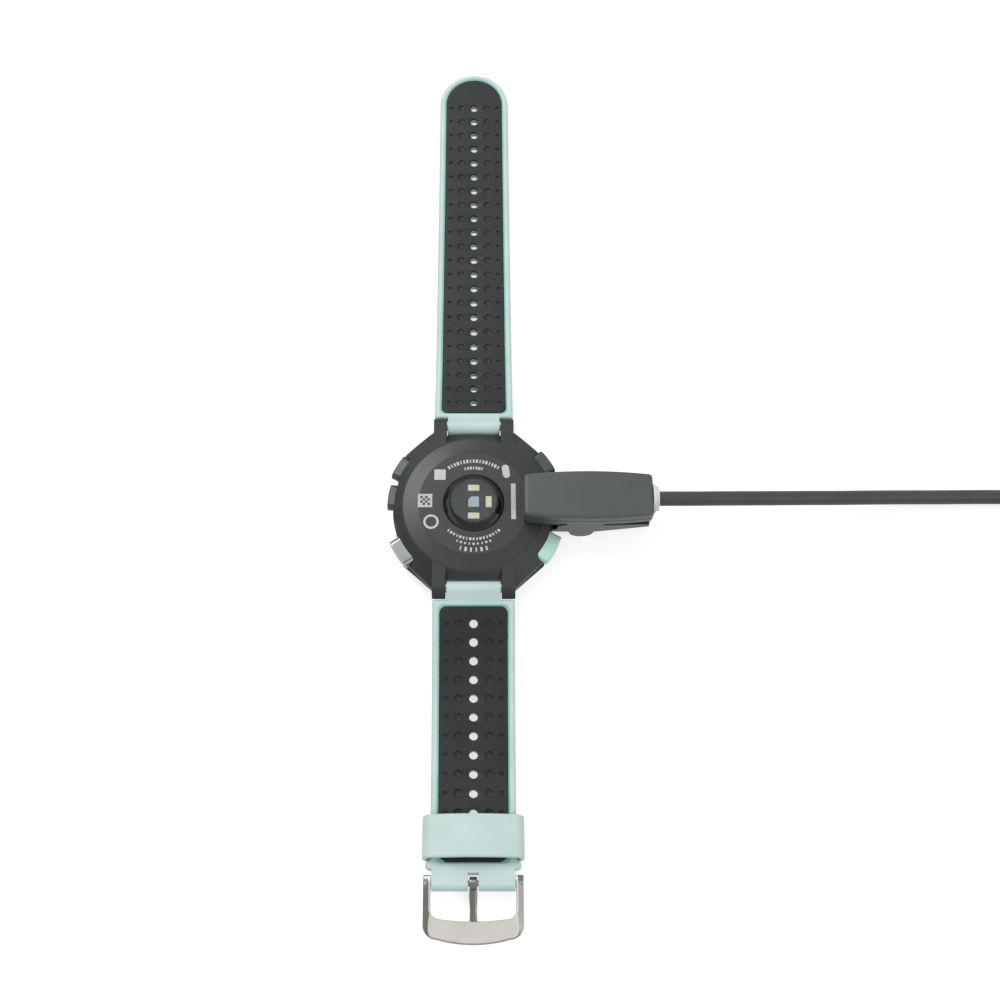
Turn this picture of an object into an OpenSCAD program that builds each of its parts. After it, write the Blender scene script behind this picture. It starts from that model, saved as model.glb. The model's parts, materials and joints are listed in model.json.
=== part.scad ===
// GPS running watch lying on its lens, straps laid out, with its charging clip and lead.
// Origin: centre of the lens face. +Z out of the case back, +Y along the long strap,
// +X towards the charging clip. Millimetres.

/* [Case] */
// Diameter of the case body
case_d = 43.8; // [40:0.2:53]
// Height from the lens face to the back cover
case_h = 9.4; // [9:0.1:11.5]
// Height of the front bezel
bezel_h = 3.15; // [2.9:0.05:3.6]
// How much wider than the case body the bezel is, per side
bezel_over = 0.5; // [0.2:0.1:1]
// Thickness of the case wall
case_wall = 2.9; // [2.4:0.1:3.6]
// Thickness of the back cover
cover_t = 1.0; // [0.8:0.1:1.4]
// Width of the sloped shoulder round the back cover's flat
shoulder_w = 4.4; // [3:0.2:6]

/* [Lens and display] */
// Diameter of the lens
lens_d = 34.6; // [30:0.2:36]
// Thickness of the lens
lens_t = 1.2; // [1:0.1:1.4]
// How far the lens stands proud of the bezel
lens_proud = 0.25; // [0.1:0.05:0.4]
// Diameter of the display module
display_d = 31; // [26:0.5:31.6]
// Thickness of the display module
display_t = 1.5; // [1:0.1:1.6]

/* [Lugs and spring bars] */
// Gap between the two ears of a lug
lug_gap = 15.2; // [13:0.2:19]
// Thickness of one ear
ear_t = 3.6; // [3:0.1:4.4]
// Radius of the ear round its spring bar
ear_r = 2.5; // [2.1:0.1:2.7]
// Distance from the case body to the spring bar
pin_reach = 2.1; // [1.9:0.1:3]
// Height of the spring bar above the lens face
pin_z = 6.2; // [5.6:0.1:6.6]
// Diameter of the spring bar
pin_d = 1.5; // [1.2:0.1:1.8]

/* [Heart rate sensor] */
// Diameter of the sensor ring at its foot
dome_d = 16.8; // [14:0.2:20]
// Height of the sensor above the back cover
dome_h = 2.3; // [2:0.1:3]
// Diameter of the sensor window
window_d = 13.3; // [11.5:0.1:14]

/* [Buttons] */
// Length of an upper or middle button along the case
button_l = 7.4; // [5:0.2:8]
// Length of a lower button along the case
lower_button_l = 8.8; // [6:0.2:9.4]
// Height of a button
button_h = 3.0; // [2.2:0.1:3]
// How far the middle button stands out past the round of the case
button_proud = 1.9; // [1.2:0.1:2.4]
// Travel of a button
button_travel = 0.6; // [0.3:0.1:0.7]
// Diameter of a button's stem
stem_d = 2.0; // [1.4:0.1:2.2]

/* [Straps] */
// Width of the straps at the lugs
strap_w = 22.2; // [20:0.2:27]
// Width of the straps at their far ends
strap_end_w = 21.3; // [18:0.1:25.6]
// Thickness of the straps
strap_t = 2.5; // [2.2:0.1:3]
// Width of the rim beside the liner
rim_w = 2.0; // [1.4:0.1:2.6]
// Thickness of the liner
liner_t = 0.9; // [0.7:0.1:1.3]
// Diameter of the through holes
hole_d = 2.3; // [1.8:0.1:2.8]
// Distance between two rows of holes
hole_pitch = 4.95; // [4.5:0.05:6]
// Distance from the spring bar to the first row of the long strap
long_first = 8.2; // [7.4:0.1:10]
// Distance from the spring bar to the first row of the short strap
short_first = 9.2; // [7.4:0.1:11]
// Length of the long strap past its last row
tip_past = 12.3; // [8:0.1:14]
// Distance from the last bend of the short strap to the buckle's bar
buckle_past = 29.6; // [28.4:0.1:36]

/* [Keeper and buckle] */
// Length of the keeper along the strap
keeper_l = 10.8; // [8:0.2:11.4]
// Thickness of the keeper's wall
keeper_t = 1.15; // [1:0.05:1.3]
// Outer width of the buckle
buckle_w = 25; // [24:0.2:30]
// Thickness of the buckle frame
buckle_t = 1.9; // [1.6:0.1:2]
// Distance from the buckle's bar to its outer edge
buckle_reach = 14.2; // [12.4:0.2:17]
// Width of the buckle's flat outer bar
buckle_bar_w = 5.2; // [4:0.2:6]
// Width of the prong
prong_w = 1.95; // [1.6:0.05:2.2]

/* [Charging clip] */
// Length of the clip
clip_l = 34.9; // [33:0.2:42]
// Width of the clip at its middle
clip_w = 13.9; // [13.4:0.1:16]
// Width lost from the middle of the clip to its ends
clip_bow = 2.0; // [1:0.1:2.4]
// Height of the clip's top face above the lens face
clip_top = 15.7; // [15.2:0.1:18]
// Diameter of the clip's hinge pin
hinge_d = 1.8; // [1.4:0.1:2]

/* [Charging lead] */
// Diameter of the lead
cord_d = 4.0; // [3.6:0.1:4.2]

/* [Hidden] */
$fn = 64;

fit = 0.05;                       // clearance of a part in its seat
run = 0.05;                       // radial clearance of a running fit
case_r = case_d / 2;
bezel_r = case_r + bezel_over;
bezel_z = lens_proud;
mid_z = bezel_z + bezel_h;
cavity_r = case_r - case_wall;
lens_r = lens_d / 2;
gasket_z = lens_t;
gasket_t = 0.4;
ledge_z = gasket_z + gasket_t;    // where the bezel's ledge carries the lens gasket
ledge_t = 0.6;
ledge_r = display_d / 2 + 0.4;
shelf_t = 1.1;                    // the mid case's shelf under the board
shelf_z = mid_z + 0.6 - shelf_t;
board_z = shelf_z + shelf_t;
board_t = 0.7;
top_z = board_z + board_t;        // the board's component side
cover_z = case_h - cover_t;
cover_r = case_r - 2.5;
flat_r = cover_r - shoulder_w;
cover_edge_z = case_h - 0.75;     // top of the cover's outer edge
seat_z = cover_z - 0.45;          // where the case carries the back gasket
seal_t = 0.2;
pin_y = case_r + pin_reach;
pin_r = pin_d / 2;
barrel_r = ear_r + 0.1;           // the strap's barrel between the ears
flat_y = pin_y - barrel_r - 0.2;  // where the case is cut flat between the ears
ear_x = lug_gap / 2;
ear_corner = [ear_x + ear_t - 0.1, case_r + 1.5];    // where a flank of the case meets an ear
flank_corner = [case_r - 2.9, case_r - 6.1];         // where a flank meets the case's wall, by a button

contact_x = case_r - 5.3;
contact_pitch = 2.2;
button_z = mid_z + 0.55 + button_h / 2;
button_angles = [150, 172.5, 214, 33.7, -30];   // upper, middle, lower left, then right
button_lengths = [button_l, button_l, lower_button_l, button_l, lower_button_l];
button_reaches = [0.8, 0, 1.4, 1.4, 1.8];       // further out than the middle button, on the flanks
pocket_floor = case_r - 1.15;
head_back = pocket_floor + button_travel + 0.05;
seal_depth = 0.5;
switch_l = 1.2;
stem_end = cavity_r - 0.55;
switch_face = stem_end - button_travel - 0.05;
board_r = switch_face;
screw_angles = [65, 115, 270];
screw_r = board_r - 1.2;
screw_shank = 0.45;
screw_head_r = 0.9;
battery_l = 19;
battery_w = 14.6;
contact_places = [for (i = [-1.5 : 1 : 1.5]) [contact_x, i * contact_pitch]];
window_t = 0.8;
window_z = case_h + dome_h - window_t;
sensor_wall_r = dome_d / 2 - 0.9;     // spigot of the sensor ring in the cover
sensor_z = case_h + 0.1;              // top of the sensor board
led_places = [[0, 4.1, 0], [0, -4.1, 0], [4.1, 0, 90]];

hole_r = hole_d / 2;
strap_top = 1.4;                  // the strap's upper face above the spring bar
liner_gap = 0.1;                  // how far the liner lies below the rim
pocket_d = liner_t + liner_gap;
liner_start = 4.6;
link_gap = 0.1;
ear_clear = ear_r + 0.25;
long_angles = [-12, -0.6, 0.4, 4.5];
short_angles = [-12, -0.6, 4.5];
long_lengths = [long_first + 2.5 * hole_pitch, 6 * hole_pitch, 6 * hole_pitch,
                6.5 * hole_pitch + tip_past];
short_lengths = [short_first + 2.5 * hole_pitch, 5 * hole_pitch, buckle_past];
strap_taper = (strap_w - strap_end_w) / 115;    // width lost for each millimetre of strap

buckle_in_w = buckle_w - 3.8;     // between the buckle's arms
end_r = 1.9;                      // the strap's barrel round the buckle's bar
bar_drop = 1.45;                  // buckle's bar below the strap's upper face
bulge_w = buckle_w - 0.8;
bulge_y = buckle_past - 4.2;
buckle_angle = -5.5;
keeper_y = bulge_y - keeper_l / 2 - 1.4;
keeper_in_w = strap_w - strap_taper * (short_lengths[0] + short_lengths[1] + keeper_y) + 1.1;
keeper_in_h = 2 * strap_t - 0.1;
prong_slot_w = prong_w + 0.7;
liner_end = buckle_past - 5.1;    // where the short liner ends, from the last bend
mint = [0.75, 0.89, 0.86];
charcoal = [0.2, 0.21, 0.24];

clip_x = case_r - 8.3;            // the clip's nose
clip_end = clip_x + clip_l;
mouth_x = bezel_r + 0.6;          // the bottom of the clip's mouth
pivot = [bezel_r + 7.2, 4.0];     // x and z of the clip's hinge
hinge_r = hinge_d / 2;
jaw_half = clip_w / 2 - 1.85;     // half the width of the lower jaw
skirt_z = clip_top - 5.1;
contact_z = case_h - 0.75;
collar_r = 4;
collar_t = 1.4;

cord_r = cord_d / 2;
lead_route = [
    [50, 0, 12.2], [60, 0.1, 12], [70, 0.5, 11.2], [80, 1.1, 9.8], [90, 1.9, 8], [100, 2.7, 6.1],
    [110, 3.5, 4.4], [120, 4.1, 3.1], [130, 4.4, 2.4], [140, 4.6, 2.1], [150, 4.6, 2.1], [160, 4.6, 2.1],
    [170, 4.4, 2.1]
];
tail_route = [[204, -30, 5.6], [204, -35, 4.9], [204, -41, 4.2], [204, -47, 4], [204, -52, 4]];
coil_centre = [178, -21.4];
coil_mean = 22;
turn_columns = 3;
turn_layers = 2;
plug_y = -52;
plug_z = 4;
relief_l = 9;
plug_body_l = 19;
plug_shell_l = 14;

// ---- shared shapes ----

// Plan of the case: a circle with straight flanks from its buttons to the ears, cut flat for the straps.
module case_plan(r, grow) {
    flank = flank_corner + [grow, grow];
    inner_r = r - 0.02;
    turn = atan2(flank[1], flank[0]) - acos(inner_r / norm(flank));    // where a line to the flank leaves
    right = [inner_r * [cos(turn), sin(turn)], flank, ear_corner];
    left = [for (i = [2 : -1 : 0]) [-right[i][0], right[i][1]]];
    difference() {
        union() {
            circle(r = r);
            polygon(concat(right, left, -right, -left));
        }
        for (s = [-1, 1]) translate([-ear_x, s > 0 ? flat_y : -flat_y - 20]) square([lug_gap, 20]);
    }
}

module ring(r_out, r_in, z, h) {
    translate([0, 0, z]) difference() {
        cylinder(r = r_out, h = h);
        translate([0, 0, -1]) cylinder(r = r_in, h = h + 2);
    }
}

// A rod along X.
module x_rod(r, x0, x1, y = 0, z = 0) {
    translate([x0, y, z]) rotate([0, 90, 0]) cylinder(r = r, h = x1 - x0);
}

// A rod along Y.
module y_rod(r, y0, y1, x = 0, z = 0) {
    translate([x, y0, z]) rotate([-90, 0, 0]) cylinder(r = r, h = y1 - y0);
}

// Extrudes a YZ outline across X, centred.
module across_x(w) {
    translate([-w / 2, 0, 0]) rotate([90, 0, 90]) linear_extrude(height = w) children();
}

// Extrudes an XZ outline across Y, centred.
module across_y(w) {
    translate([0, w / 2, 0]) rotate([90, 0, 0]) linear_extrude(height = w) children();
}

module rounded_rect(w, l, r) {
    square([w - 2 * r, l], center = true);
    square([w, l - 2 * r], center = true);
    for (sx = [-1, 1], sy = [-1, 1]) translate([sx * (w / 2 - r), sy * (l / 2 - r)]) circle(r = r);
}

// ---- case ----

module front_bezel() {
    front_flat_r = lens_r + 1.1;
    chamfer_z = bezel_z + 2.1;
    color([0.20, 0.22, 0.22]) difference() {
        intersection() {
            translate([0, 0, bezel_z]) linear_extrude(height = bezel_h)
                case_plan(bezel_r, bezel_over / 2);
            rotate_extrude() polygon([[0, bezel_z], [front_flat_r, bezel_z], [bezel_r, chamfer_z],
                [bezel_r + 6, chamfer_z], [bezel_r + 6, mid_z], [0, mid_z]]);
        }
        translate([0, 0, bezel_z - 1]) cylinder(r = lens_r + fit, h = ledge_z - bezel_z + 1);
        cylinder(r = ledge_r, h = mid_z + 1);
        translate([0, 0, ledge_z + ledge_t]) cylinder(r = cavity_r + fit, h = bezel_h);
    }
}

module lens_glass() {
    color([0.05, 0.06, 0.07]) cylinder(r = lens_r, h = lens_t);
}

module lens_gasket() {
    color([0.1, 0.1, 0.1]) ring(lens_r - 0.1, ledge_r, gasket_z, gasket_t);
}

module display_module() {
    color([0.3, 0.34, 0.36]) translate([0, 0, lens_t + fit]) cylinder(d = display_d, h = display_t);
}

module ear_plan() {
    translate([pin_y, pin_z]) circle(r = ear_r);
    polygon([[case_r - 6, mid_z], [pin_y, pin_z - ear_r], [pin_y, pin_z + ear_r],
             [case_r - 6, cover_edge_z - 0.05]]);
}

// Puts its children where a button is, with +X outwards and +Y along the case.
module at_button(i) {
    rotate([0, 0, button_angles[i]]) translate([0, 0, button_z]) children();
}

module stadium(l, h, grow = 0) {
    r = h / 2 + grow;
    square([l - h, 2 * r], center = true);
    for (s = [-1, 1]) translate([s * (l - h) / 2, 0]) circle(r = r);
}

module mid_case() {
    seat_r = cover_r + fit;
    color([0.27, 0.29, 0.29]) difference() {
        union() {
            intersection() {
                translate([0, 0, mid_z]) linear_extrude(height = cover_edge_z - mid_z)
                    case_plan(case_r, 0);
                rotate_extrude() polygon([[0, mid_z], [case_r + 6, mid_z],
                    [case_r + 6, cover_edge_z - 5], [seat_r + 0.3, cover_edge_z], [0, cover_edge_z]]);
            }
            for (s = [-1, 1], x = [-1, 1]) scale([1, s, 1])
                translate([x * (ear_x + ear_t / 2), 0, 0]) across_x(ear_t) ear_plan();
            translate([0, 0, shelf_z]) cylinder(r = cavity_r, h = shelf_t);
        }
        translate([0, 0, shelf_z - 1]) cylinder(r = screw_r - 1.1, h = shelf_t + 2);
        translate([0, 0, board_z]) cylinder(r = cavity_r, h = case_h);
        translate([0, 0, seat_z]) cylinder(r = seat_r, h = case_h);
        for (s = [-1, 1])
            x_rod(pin_r + run, -ear_x - ear_t + 0.5, ear_x + ear_t - 0.5, s * pin_y, pin_z);
        for (i = [0 : 4]) at_button(i) {
            translate([pocket_floor, 0, 0]) rotate([90, 0, 90]) linear_extrude(height = 8)
                stadium(button_lengths[i], button_h, 0.15);
            x_rod(stem_d / 2 + run, cavity_r - 4, case_r + 1);
            x_rod(stem_d / 2 + 0.65, pocket_floor - seal_depth, case_r + 1);
        }
        for (a = screw_angles) rotate([0, 0, a]) translate([screw_r, 0, shelf_z - 1])
            cylinder(r = screw_shank + run, h = shelf_t + 2);
        // pressure vent beside the lower left button
        rotate([0, 0, 201]) x_rod(0.45, cavity_r - 1, case_r + 2, 0, button_z + 0.4);
    }
}

module main_board() {
    color([0.05, 0.25, 0.15]) difference() {
        translate([0, 0, board_z]) cylinder(r = board_r, h = board_t);
        for (a = screw_angles) rotate([0, 0, a]) translate([screw_r, 0, board_z - 1])
            cylinder(r = screw_shank + run, h = board_t + 2);
    }
}

module board_screws() {
    color([0.7, 0.7, 0.7]) for (a = screw_angles) rotate([0, 0, a]) translate([screw_r, 0, 0]) {
        translate([0, 0, shelf_z + 0.1]) cylinder(r = screw_shank, h = top_z - shelf_z);
        translate([0, 0, top_z]) cylinder(r = screw_head_r, h = 0.5);
    }
}

module battery() {
    color([0.75, 0.76, 0.78]) translate([-2, 0, top_z + 1.2])
        cube([battery_l, battery_w, 2.4], center = true);
}

module gps_antenna() {
    patch = 8.4;
    color([0.85, 0.8, 0.68]) translate([-patch / 2, battery_w / 2 + 0.6, top_z])
        cube([patch, patch, 2]);
}

module vibration_motor() {
    motor_r = 3.9;
    color([0.8, 0.8, 0.82]) translate([0, -battery_w / 2 - motor_r - 0.3, top_z])
        cylinder(r = motor_r, h = 2.4);
}

module dome_switches() {
    color([0.75, 0.72, 0.6]) for (i = [0 : 4]) rotate([0, 0, button_angles[i]])
        translate([switch_face - switch_l, -1.7, top_z]) cube([switch_l, 3.4, button_z + 0.8 - top_z]);
}

module button_seals() {
    color([0.08, 0.08, 0.08]) for (i = [0 : 4]) at_button(i) difference() {
        x_rod(stem_d / 2 + 0.6, pocket_floor - seal_depth + 0.02, pocket_floor - 0.02);
        x_rod(stem_d / 2 + run, pocket_floor - 2, pocket_floor + 1);
    }
}

module button(i) {
    intersection() {
        at_button(i) {
            translate([head_back, 0, 0]) rotate([90, 0, 90]) linear_extrude(height = 5)
                stadium(button_lengths[i], button_h);
            x_rod(stem_d / 2, stem_end, head_back + 0.5);
        }
        cylinder(r = case_r + button_proud + button_reaches[i], h = case_h);
    }
}

module button_upper_left() { color([0.25, 0.27, 0.27]) button(0); }
module button_middle_left() { color([0.25, 0.27, 0.27]) button(1); }
module button_lower_left() { color([0.45, 0.47, 0.47]) button(2); }
module button_upper_right() { color([0.45, 0.47, 0.47]) button(3); }
module button_lower_right() { color([0.72, 0.88, 0.84]) button(4); }

// ---- back ----

module back_cover() {
    hole = dome_d / 2 - 0.85;
    color([0.30, 0.32, 0.32]) difference() {
        rotate_extrude() polygon([[hole, cover_z], [cavity_r - 0.6, cover_z],
            [cavity_r - 0.6, cover_z - 0.9], [cavity_r - 0.1, cover_z - 0.9],
            [cavity_r - 0.1, seat_z + seal_t], [cover_r, seat_z + seal_t], [cover_r, cover_edge_z],
            [flat_r + 0.3, case_h - 0.12], [flat_r, case_h], [hole, case_h]]);
        // recess of the charging contacts, open to the rim
        translate([contact_x - 2, -2 * contact_pitch - 0.7, contact_z - 0.1])
            cube([cover_r, 4 * contact_pitch + 1.4, 3]);
        for (p = contact_places) translate([p[0], p[1], case_h - 2])
            cube([2.6 + 2 * fit, 1.3 + 2 * fit, 6], center = true);
    }
}

module back_gasket() {
    color([0.1, 0.1, 0.1]) ring(cover_r - 0.05, cavity_r + 0.05, seat_z, seal_t);
}

module charge_contacts() {
    color([0.85, 0.7, 0.35]) for (p = contact_places)
        translate([p[0] - 1.3, p[1] - 0.65, contact_z - 0.8]) cube([2.6, 1.3, 0.8]);
}

module piezo_buzzer() {
    color([0.8, 0.7, 0.4]) translate([-case_r + 8.6, 0, cover_z - 0.6]) cylinder(r = 3.4, h = 0.6);
}

module sensor_ring() {
    lip = window_d / 2;
    color([0.04, 0.04, 0.04]) rotate_extrude() polygon([
        [sensor_wall_r - 0.6, cover_z], [sensor_wall_r, cover_z], [sensor_wall_r, case_h],
        [dome_d / 2, case_h], [dome_d / 2, case_h + 0.15], [lip + 0.35, case_h + dome_h - 0.25],
        [lip + 0.2, case_h + dome_h - 0.1], [lip + fit, case_h + dome_h - 0.1],
        [lip + fit, window_z], [lip - 0.5, window_z], [lip - 0.5, window_z - 0.3],
        [sensor_wall_r - 0.6, window_z - 0.5]]);
}

module sensor_board() {
    color([0.03, 0.03, 0.03]) translate([0, 0, sensor_z - 0.6])
        cylinder(r = sensor_wall_r - 0.65, h = 0.6);
}

module sensor_leds() {
    color([0.92, 0.91, 0.75]) for (p = led_places) translate([p[0], p[1], sensor_z])
        rotate([0, 0, p[2]]) translate([-1.55, -0.8, 0]) cube([3.1, 1.6, 0.5]);
}

module photodiode() {
    color([0.65, 0.7, 0.8]) translate([0, 0, sensor_z]) linear_extrude(height = 0.5)
        polygon([[-1.45, -1.45], [1.45, -1.45], [1.45, 1.45], [-0.6, 1.45], [-1.45, 0.6]]);
}

module sensor_window() {
    color([0.2, 0.22, 0.24]) translate([0, 0, window_z]) cylinder(d = window_d, h = window_t);
}

// ---- straps ----

module spring_bar() {
    color([0.7, 0.7, 0.7]) x_rod(pin_r, -ear_x - ear_t + 0.6, ear_x + ear_t - 0.6, pin_y, pin_z);
}

module long_spring_bar() { spring_bar(); }
module short_spring_bar() { mirror([0, 1, 0]) spring_bar(); }

// Knuckle i of a strap in Y and Z: 0 is the spring bar, the others lie on the upper face.
function knuckle(a, l, i) =
    i == 0 ? [pin_y, pin_z]
    : i == 1 ? [pin_y + l[0] * cos(a[0]) - strap_top * sin(a[0]),
                pin_z + l[0] * sin(a[0]) + strap_top * cos(a[0])]
    : knuckle(a, l, i - 1) + l[i - 1] * [cos(a[i - 1]), sin(a[i - 1])];

function before(l, i) = i == 0 ? 0 : l[i - 1] + before(l, i - 1);
function strap_width(s) = strap_w - strap_taper * s;

// Puts a link drawn along +Y with its upper face at z = 0 at its place in a strap.
module at_link(a, l, i) {
    k = knuckle(a, l, i);
    translate([0, k[0], k[1]]) rotate([a[i], 0, 0]) translate([0, 0, i == 0 ? strap_top : 0]) children();
}

// Plan of a stretch of strap from y0 to y1, inset from its edges.
module stretch(s, y0, y1, inset) {
    w0 = strap_width(s + y0) / 2 - inset;
    w1 = strap_width(s + y1) / 2 - inset;
    polygon([[-w0, y0], [w0, y0], [w1, y1], [-w1, y1]]);
}

module holes(first, n) {
    for (k = [0 : n - 1]) translate([0, first + k * hole_pitch, -strap_t - 1])
        cylinder(r = hole_r, h = strap_t + 2);
}

// One link of the strap's outer moulding, without its special end.
module link_body(s, y0, y1) {
    translate([0, 0, -strap_t]) linear_extrude(height = strap_t) stretch(s, y0, y1, 0);
}

module link_pocket(s, y0, y1) {
    translate([0, 0, -pocket_d]) linear_extrude(height = pocket_d + 1) stretch(s, y0, y1, rim_w);
}

module link_liner(s, y0, y1) {
    translate([0, 0, -pocket_d]) linear_extrude(height = liner_t) stretch(s, y0, y1, rim_w + fit);
}

module first_link(l, first) {
    end = l[0] - link_gap / 2;
    difference() {
        union() {
            link_body(0, ear_clear, end);
            translate([0, 0, -strap_top]) across_x(lug_gap - 0.4) {
                circle(r = barrel_r);
                translate([0, strap_top - strap_t]) square([ear_clear + 1, strap_t]);
            }
        }
        x_rod(ear_clear, -20, 0.2 - ear_x, 0, -strap_top);
        x_rod(ear_clear, ear_x - 0.2, 20, 0, -strap_top);
        x_rod(pin_r + run, -20, 20, 0, -strap_top);
        link_pocket(0, liner_start, end + 1);
        holes(first, 3);
    }
}

module middle_link(l, i, n) {
    difference() {
        link_body(before(l, i), link_gap / 2, l[i] - link_gap / 2);
        link_pocket(before(l, i), -1, l[i] + 1);
        holes(hole_pitch / 2, n);
    }
}

module tip_plan(s, len, inset) {
    r = strap_width(s + len) / 2 - inset;
    stretch(s, inset > 0 ? -1 : link_gap / 2, len - inset - r, inset);
    translate([0, len - inset - r]) circle(r = r);
}

module long_strap_1() {
    color(mint) at_link(long_angles, long_lengths, 0) first_link(long_lengths, long_first);
}
module long_strap_2() {
    color(mint) at_link(long_angles, long_lengths, 1) middle_link(long_lengths, 1, 6);
}
module long_strap_3() {
    color(mint) at_link(long_angles, long_lengths, 2) middle_link(long_lengths, 2, 6);
}

module long_strap_4() {
    s = before(long_lengths, 3);
    color(mint) at_link(long_angles, long_lengths, 3) difference() {
        translate([0, 0, -strap_t]) linear_extrude(height = strap_t) tip_plan(s, long_lengths[3], 0);
        translate([0, 0, -pocket_d]) linear_extrude(height = 5) tip_plan(s, long_lengths[3], rim_w);
        holes(hole_pitch / 2, 7);
    }
}

// A liner inlay between two distances of link i, with its through holes.
module liner(a, l, i, y0, y1, first, n) {
    color(charcoal) at_link(a, l, i) difference() {
        link_liner(before(l, i), y0, y1);
        holes(first, n);
    }
}

module long_liner_1() {
    liner(long_angles, long_lengths, 0, liner_start + fit, long_lengths[0] - link_gap / 2, long_first, 3);
}
module long_liner_2() {
    liner(long_angles, long_lengths, 1, link_gap / 2, long_lengths[1] - link_gap / 2, hole_pitch / 2, 6);
}
module long_liner_3() {
    liner(long_angles, long_lengths, 2, link_gap / 2, long_lengths[2] - link_gap / 2, hole_pitch / 2, 6);
}
module long_liner_4() {
    s = before(long_lengths, 3);
    color(charcoal) at_link(long_angles, long_lengths, 3) difference() {
        translate([0, 0, -pocket_d]) linear_extrude(height = liner_t) intersection() {
            tip_plan(s, long_lengths[3], rim_w + fit);
            translate([-20, link_gap / 2]) square([40, 100]);
        }
        holes(hole_pitch / 2, 7);
    }
}

module short_strap_1() {
    color(mint) mirror([0, 1, 0]) at_link(short_angles, short_lengths, 0)
        first_link(short_lengths, short_first);
}
module short_strap_2() {
    color(mint) mirror([0, 1, 0]) at_link(short_angles, short_lengths, 1)
        middle_link(short_lengths, 1, 5);
}

module short_strap_3() {
    s = before(short_lengths, 2);
    color(mint) mirror([0, 1, 0]) at_link(short_angles, short_lengths, 2) difference() {
        union() {
            link_body(s, link_gap / 2, bulge_y);
            // shoulders that cover the ends of the buckle's arms
            translate([0, bulge_y, -strap_t]) linear_extrude(height = strap_t)
                rounded_rect(bulge_w, 2, 0.9);
            translate([0, 0, -bar_drop]) across_x(buckle_in_w - 0.3) {
                translate([buckle_past, 0]) circle(r = end_r);
                translate([bulge_y, bar_drop - strap_t]) square([buckle_past - bulge_y, strap_t]);
            }
        }
        link_pocket(s, -1, liner_end);
        holes(hole_pitch / 2, 4);
        x_rod(pin_r + run, -20, 20, buckle_past, -bar_drop);
        translate([-prong_slot_w / 2, buckle_past - 4, -10]) cube([prong_slot_w, 20, 20]);
    }
}

module short_liner_1() {
    mirror([0, 1, 0]) liner(short_angles, short_lengths, 0, liner_start + fit,
        short_lengths[0] - link_gap / 2, short_first, 3);
}
module short_liner_2() {
    mirror([0, 1, 0]) liner(short_angles, short_lengths, 1, link_gap / 2,
        short_lengths[1] - link_gap / 2, hole_pitch / 2, 5);
}
module short_liner_3() {
    mirror([0, 1, 0]) liner(short_angles, short_lengths, 2, link_gap / 2, liner_end - fit,
        hole_pitch / 2, 4);
}

// ---- keeper and buckle ----

module keeper_loop() {
    out_w = keeper_in_w + 2 * 1.5;
    floor_z = -strap_t - 0.1;
    roof_z = floor_z + keeper_in_h;
    arch_r = 60;
    color(mint) mirror([0, 1, 0]) at_link(short_angles, short_lengths, 2)
        translate([0, keeper_y + keeper_l / 2, 0]) rotate([90, 0, 0]) linear_extrude(height = keeper_l)
        difference() {
            intersection() {
                translate([0, (floor_z + roof_z) / 2])
                    rounded_rect(out_w, keeper_in_h + 2 * keeper_t, 2);
                translate([0, roof_z + keeper_t - arch_r]) circle(r = arch_r, $fn = 200);
            }
            intersection() {
                translate([0, (floor_z + roof_z) / 2]) rounded_rect(keeper_in_w, keeper_in_h, 0.5);
                translate([0, roof_z - arch_r]) circle(r = arch_r, $fn = 200);
            }
        }
}

// Puts a piece drawn round the buckle's bar at its place, lying level along +Y.
module at_buckle() {
    k = knuckle(short_angles, short_lengths, 2);
    a = short_angles[2];
    y = k[0] + buckle_past * cos(a) + bar_drop * sin(a);
    z = k[1] + buckle_past * sin(a) - bar_drop * cos(a);
    mirror([0, 1, 0]) translate([0, y, z]) rotate([buckle_angle, 0, 0]) children();
}

module buckle_bar() {
    color([0.7, 0.7, 0.68]) at_buckle() x_rod(pin_r, -buckle_w / 2 + 0.2, buckle_w / 2 - 0.2);
}

module buckle_frame() {
    arm_back = 2.1;
    inner_l = buckle_reach - buckle_bar_w + arm_back + 3;
    color([0.74, 0.73, 0.7]) at_buckle() difference() {
        intersection() {
            translate([0, 0, -buckle_t / 2]) linear_extrude(height = buckle_t) difference() {
                translate([0, buckle_reach / 2 - 4]) rounded_rect(buckle_w, buckle_reach + 8, 3.5);
                translate([0, buckle_reach - buckle_bar_w - inner_l / 2])
                    rounded_rect(buckle_in_w, inner_l, 1.5);
                translate([-20, -20 - arm_back]) square([40, 20]);
            }
            across_x(buckle_w + 2) {
                circle(r = arm_back);
                translate([0, -5]) square([buckle_reach + 5, 10]);
            }
        }
        x_rod(pin_r + run, -20, 20);
    }
}

module buckle_prong() {
    tip = buckle_reach - 0.7;
    low = -buckle_t / 2 - 0.07;
    color([0.74, 0.73, 0.7]) at_buckle() difference() {
        across_x(prong_w) {
            circle(r = 1.6);
            polygon([[0, -0.1], [buckle_reach - buckle_bar_w - 0.6, low], [tip - 0.3, low],
                     [tip, low - 0.5], [tip - 0.4, low - 1.15], [6, low - 1.35], [0, -1.6]]);
        }
        x_rod(pin_r + run, -20, 20);
    }
}

// ---- charging clip ----

module clip_plan(half, x0, x1) {
    bow_r = (pow(clip_l / 2, 2) + pow(clip_bow / 2, 2)) / clip_bow;
    middle = clip_x + clip_l / 2;
    intersection() {
        translate([x0, -20]) square([x1 - x0, 40]);
        for (s = [-1, 1]) translate([middle, s * (half - bow_r)]) circle(r = bow_r, $fn = 200);
    }
}

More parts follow.
